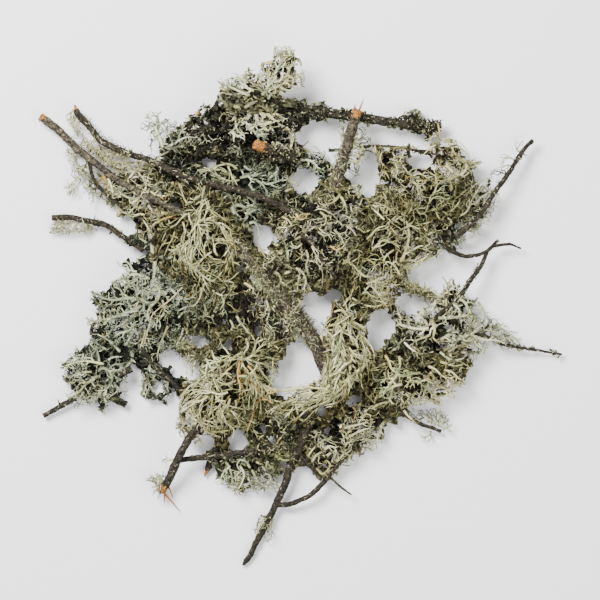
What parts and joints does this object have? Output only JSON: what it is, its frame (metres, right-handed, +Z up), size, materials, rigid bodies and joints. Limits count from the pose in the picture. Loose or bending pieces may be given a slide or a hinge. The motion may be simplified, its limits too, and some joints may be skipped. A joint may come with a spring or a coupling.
{
  "type": "lichen-covered twigs",
  "caption": "Flat, loose tangle of broken twigs overgrown and held together by tufts of leafy, antler-shaped and stringy lichen.",
  "frame": {"origin": "middle of the tangle's box, on the surface that it lies on", "axes": "+Z up, out of the surface; +X to the right and +Y away from a viewer who looks straight down, as in the picture"},
  "size_m": [0.3677, 0.3625, 0.043],
  "materials": {
    "bark": "rough scaly bark",
    "mossy_bark": "bark under dark moss",
    "needle": "dry straw",
    "grey_lichen": "matt blue-grey lobes",
    "pale_lichen": "matt pale grey-green lobes",
    "straw_lichen": "matt yellow-green ribbons",
    "bushy_lichen": "matt olive-grey fine strands",
    "leafy_crust": "matt dark olive leaves with pale edges",
    "dark_moss": "matt dark green moss"
  },
  "bodies": {
    "root": {"thick_branch": "bark", "upper_left_twig": "bark", "upper_left_fork": "bark", "long_top_twig": "bark", "left_twig": "bark", "broken_top_twig": "bark", "level_top_twig": "bark", "thin_top_twig": "bark", "orange_stub": "bark", "middle_twig": "bark", "upper_right_twig": "bark", "right_twig": "bark", "right_twig_fork": "bark", "right_twig_tip": "bark", "mossy_right_twig": "mossy_bark", "right_tip_twig": "bark", "lower_right_twig": "bark", "knobbly_twig": "bark", "knobbly_twig_fork": "bark", "thin_lower_left_twig": "bark", "mossy_left_twig": "mossy_bark", "splintered_twig": "bark", "pointed_twig": "bark", "level_bottom_twig": "bark", "bottom_twig": "bark", "bottom_twig_fork": "bark", "bottom_spike": "bark", "bottom_side_twig": "bark", "pine_needle": "needle", "pale_top_tuft": "pale_lichen", "leafy_top_crust": "leafy_crust", "grey_top_lichen": "grey_lichen", "upper_left_sprig": "grey_lichen", "upper_left_fringe": "bushy_lichen", "fine_left_mat": "bushy_lichen", "left_tip_tuft": "pale_lichen", "straw_left_tuft": "straw_lichen", "grey_left_lichen": "grey_lichen", "lower_left_lichen": "grey_lichen", "left_middle_mat": "bushy_lichen", "middle_bush": "bushy_lichen", "upper_right_clump": "straw_lichen", "right_clump": "pale_lichen", "right_middle_clump": "straw_lichen", "broken_twig_tuft": "pale_lichen", "level_twig_nub": "leafy_crust", "upper_right_tufts": "grey_lichen", "straw_hanging_tuft": "straw_lichen", "lower_left_fan": "straw_lichen", "dark_moss": "dark_moss", "bottom_tuft": "pale_lichen", "lower_right_mat": "bushy_lichen", "lower_right_upper_clump": "pale_lichen", "lower_right_clump": "straw_lichen", "right_tip_tuft": "pale_lichen", "lower_right_fuzz": "bushy_lichen", "splintered_twig_tufts": "pale_lichen", "bottom_twig_tuft": "pale_lichen", "thin_lower_left_tufts": "grey_lichen", "thick_branch_tuft": "bushy_lichen"}
  },
  "joints": []
}
